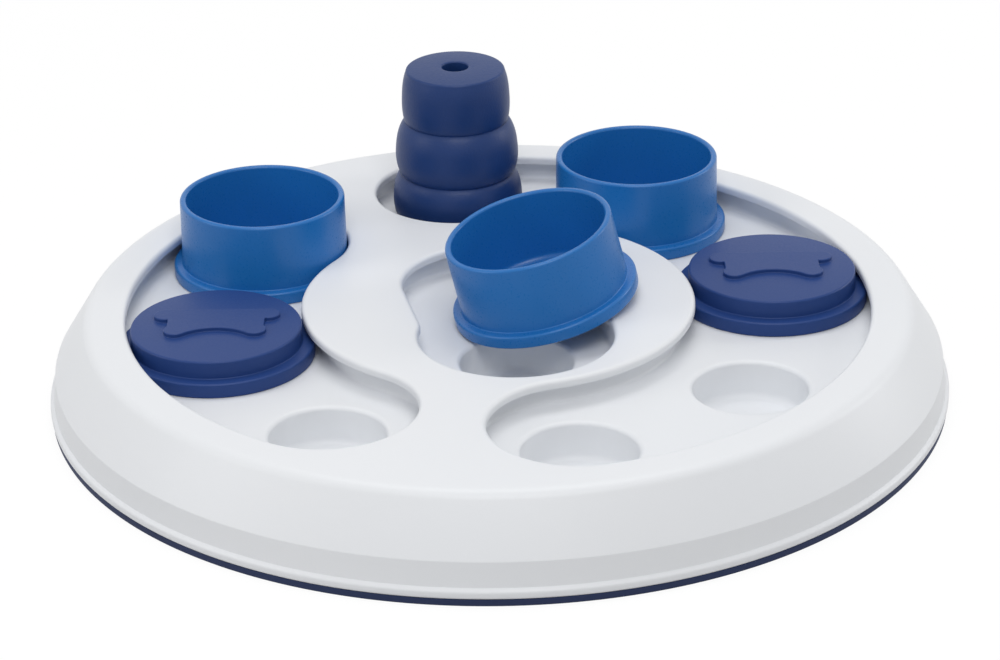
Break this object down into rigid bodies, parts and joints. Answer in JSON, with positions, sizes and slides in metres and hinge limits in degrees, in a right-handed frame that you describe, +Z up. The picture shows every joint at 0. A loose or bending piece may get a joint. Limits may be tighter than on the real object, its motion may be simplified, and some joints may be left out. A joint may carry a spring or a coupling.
{
  "type": "dog puzzle feeder toy",
  "caption": "Round dog puzzle feeder with treat wells, flanged cups and bone discs that slide in curved tracks, and a lift-off treat dispenser.",
  "frame": {"origin": "centre of the board on the ground it stands on", "axes": "+Z up, +X to the right, -Y towards the front neck between the two tracks"},
  "size_m": [0.3, 0.3, 0.0783],
  "materials": {
    "white_plastic": "satin moulded, fine grain",
    "white_tray_plastic": "satin moulded",
    "navy_soft_ring": "matt soft",
    "navy_plastic": "satin moulded, fine grain",
    "blue_plastic": "satin gloss",
    "navy_rubber": "leathery grain",
    "screw_steel": "zinc plated"
  },
  "bodies": {
    "board": {"top_cover": "white_plastic", "floor_tray": "white_tray_plastic", "antislip_ring": "navy_soft_ring", "cover_screws": "screw_steel"},
    "slider_left": {"slider_left": "navy_plastic"},
    "slider_right": {"slider_right": "navy_plastic"},
    "cup_left": {"cup_left": "blue_plastic"},
    "cup_right": {"cup_right": "blue_plastic"},
    "cup_centre": {"cup_centre": "blue_plastic"},
    "treat_dispenser": {"treat_dispenser": "navy_rubber"}
  },
  "joints": [
    {"name": "slider_left_slide", "type": "hinge", "parent": "board", "child": "slider_left", "pos_m": [0, 0, 0], "axis": [0, 0, 1], "range_deg": [0, 43.3]},
    {"name": "slider_right_slide", "type": "hinge", "parent": "board", "child": "slider_right", "pos_m": [0, 0, 0], "axis": [0, 0, 1], "range_deg": [-86.6, 0]},
    {"name": "cup_left_slide", "type": "hinge", "parent": "board", "child": "cup_left", "pos_m": [0, 0, 0], "axis": [0, 0, 1], "range_deg": [0, 4]},
    {"name": "cup_right_slide", "type": "hinge", "parent": "board", "child": "cup_right", "pos_m": [0, 0, 0], "axis": [0, 0, 1], "range_deg": [-7.3, 6]},
    {"name": "cup_centre_lift", "type": "slide", "parent": "board", "child": "cup_centre", "axis": [0, 0, 1], "range_m": [0, 0.06]},
    {"name": "treat_dispenser_lift", "type": "slide", "parent": "board", "child": "treat_dispenser", "axis": [0, 0, 1], "range_m": [0, 0.08]}
  ]
}
